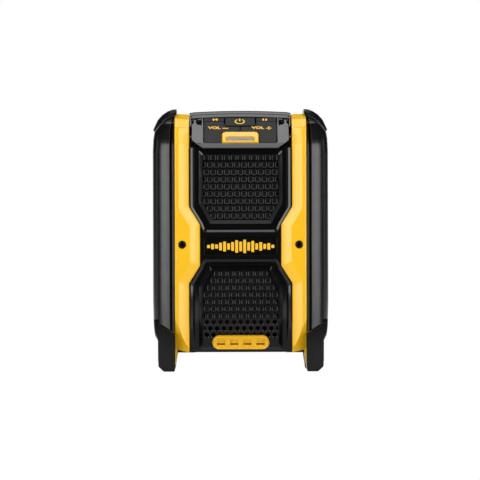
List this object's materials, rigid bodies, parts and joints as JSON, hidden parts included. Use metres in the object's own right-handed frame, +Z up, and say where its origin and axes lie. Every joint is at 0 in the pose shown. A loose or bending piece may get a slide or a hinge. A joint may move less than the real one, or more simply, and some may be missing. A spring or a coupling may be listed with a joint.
{
  "type": "portable jobsite speaker",
  "caption": "Upright rugged speaker: black core with two bevelled perforated grilles, waisted yellow side frames, rubber bumpers with feet, sloping keypad on top.",
  "frame": {"origin": "on the ground under the middle of the footprint", "axes": "+Z up, front faces -Y, +X to the viewer's right"},
  "size_m": [0.1702, 0.14, 0.2551],
  "materials": {
    "black_plastic": "satin moulded",
    "badge_plastic": "fine satin",
    "yellow_plastic": "satin moulded",
    "bumper_rubber": "fine-grained moulded rubber",
    "cover_rubber": "matt",
    "key_rubber": "matt",
    "lens_plastic": "silvery",
    "dark_plastic": "plain",
    "blade_brass": "plain",
    "plated_steel": "plated",
    "circuit_board": "plain",
    "foam_rubber": "soft",
    "driver_metal": "painted",
    "cone_paper": "pressed fibre",
    "grille_cloth": "fine weave",
    "black_screw": "black oxide"
  },
  "bodies": {
    "body": {"front_panel": "black_plastic", "upper_grille": "black_plastic", "lower_grille": "black_plastic", "badge_plate": "badge_plastic", "port_trim": "yellow_plastic", "bass_port_tube": "dark_plastic", "left_side_frame": "yellow_plastic", "right_side_frame": "yellow_plastic", "left_bumper": "bumper_rubber", "right_bumper": "bumper_rubber", "left_corner_guard": "bumper_rubber", "right_corner_guard": "bumper_rubber", "top_cover": "black_plastic", "button_carrier": "dark_plastic", "indicator_bezel": "yellow_plastic", "indicator_lens": "lens_plastic", "button_circuit_board": "circuit_board", "rear_cover": "black_plastic", "battery_dock": "dark_plastic", "terminal_block": "dark_plastic", "terminal_blades": "blade_brass", "usb_port": "plated_steel", "aux_jack": "dark_plastic", "power_jack": "dark_plastic", "socket_board": "circuit_board", "driver_baffle": "dark_plastic", "upper_gasket": "foam_rubber", "upper_driver_frame": "driver_metal", "upper_magnet": "driver_metal", "upper_surround": "foam_rubber", "lower_gasket": "foam_rubber", "lower_driver_frame": "driver_metal", "lower_magnet": "driver_metal", "lower_surround": "foam_rubber", "upper_cloth": "grille_cloth", "lower_cloth": "grille_cloth", "main_circuit_board": "circuit_board", "side_frame_screws": "black_screw", "rear_screws": "black_screw", "driver_screws": "plated_steel", "board_screws": "plated_steel"},
    "power_button": {"power_button": "key_rubber"},
    "pair_button": {"pair_button": "key_rubber"},
    "play_button": {"play_button": "key_rubber"},
    "volume_down_button": {"volume_down_button": "key_rubber"},
    "volume_up_button": {"volume_up_button": "key_rubber"},
    "port_cover": {"port_cover": "cover_rubber"},
    "upper_cone": {"upper_cone": "cone_paper"},
    "lower_cone": {"lower_cone": "cone_paper"}
  },
  "joints": [
    {"name": "power_press", "type": "slide", "parent": "body", "child": "power_button", "axis": [0, 0.5299, -0.848], "range_m": [0, 0.001], "stiffness_N_per_m": 1100, "springref_m": -0.0006},
    {"name": "pair_press", "type": "slide", "parent": "body", "child": "pair_button", "axis": [0, 0.5299, -0.848], "range_m": [0, 0.001], "stiffness_N_per_m": 700, "springref_m": -0.0006},
    {"name": "play_press", "type": "slide", "parent": "body", "child": "play_button", "axis": [0, 0.5299, -0.848], "range_m": [0, 0.001], "stiffness_N_per_m": 700, "springref_m": -0.0006},
    {"name": "volume_down_press", "type": "slide", "parent": "body", "child": "volume_down_button", "axis": [0, 0.5299, -0.848], "range_m": [0, 0.001], "stiffness_N_per_m": 1100, "springref_m": -0.0006},
    {"name": "volume_up_press", "type": "slide", "parent": "body", "child": "volume_up_button", "axis": [0, 0.5299, -0.848], "range_m": [0, 0.001], "stiffness_N_per_m": 1100, "springref_m": -0.0006},
    {"name": "port_cover_hinge", "type": "hinge", "parent": "body", "child": "port_cover", "pos_m": [0, 0.0558, 0.1848], "axis": [-1, 0, 0], "range_deg": [0, 90]},
    {"name": "upper_cone_stroke", "type": "slide", "parent": "body", "child": "upper_cone", "axis": [0, 1, 0], "range_m": [-0.002, 0.002], "stiffness_N_per_m": 1200, "deforming": ["upper_surround"]},
    {"name": "lower_cone_stroke", "type": "slide", "parent": "body", "child": "lower_cone", "axis": [0, 1, 0], "range_m": [-0.002, 0.002], "stiffness_N_per_m": 1200, "deforming": ["lower_surround"]}
  ]
}
